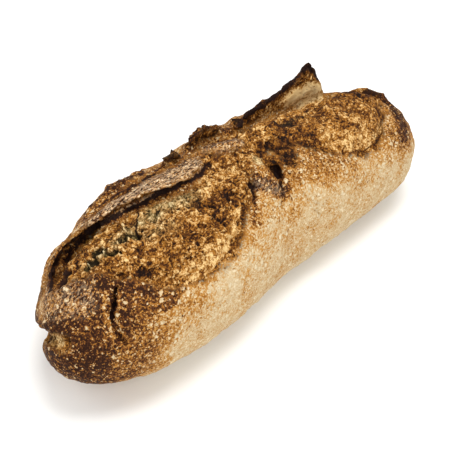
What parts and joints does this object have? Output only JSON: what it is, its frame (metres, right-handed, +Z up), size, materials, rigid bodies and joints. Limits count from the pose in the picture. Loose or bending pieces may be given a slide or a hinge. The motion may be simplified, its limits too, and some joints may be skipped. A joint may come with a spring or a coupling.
{
  "type": "loaf of bread",
  "caption": "Long crusty hand-shaped loaf with deep slashes, torn crumb and raised ears of dark crust, resting on a flat underside.",
  "frame": {"origin": "on the flat underside, under the middle of the loaf's length", "axes": "+Z up, +X along the loaf away from its darker rounded end, -Y towards the side with the pale floury crust"},
  "size_m": [0.2985, 0.1063, 0.0918],
  "materials": {
    "crust": null
  },
  "bodies": {
    "root": {"loaf": "crust"}
  },
  "joints": []
}
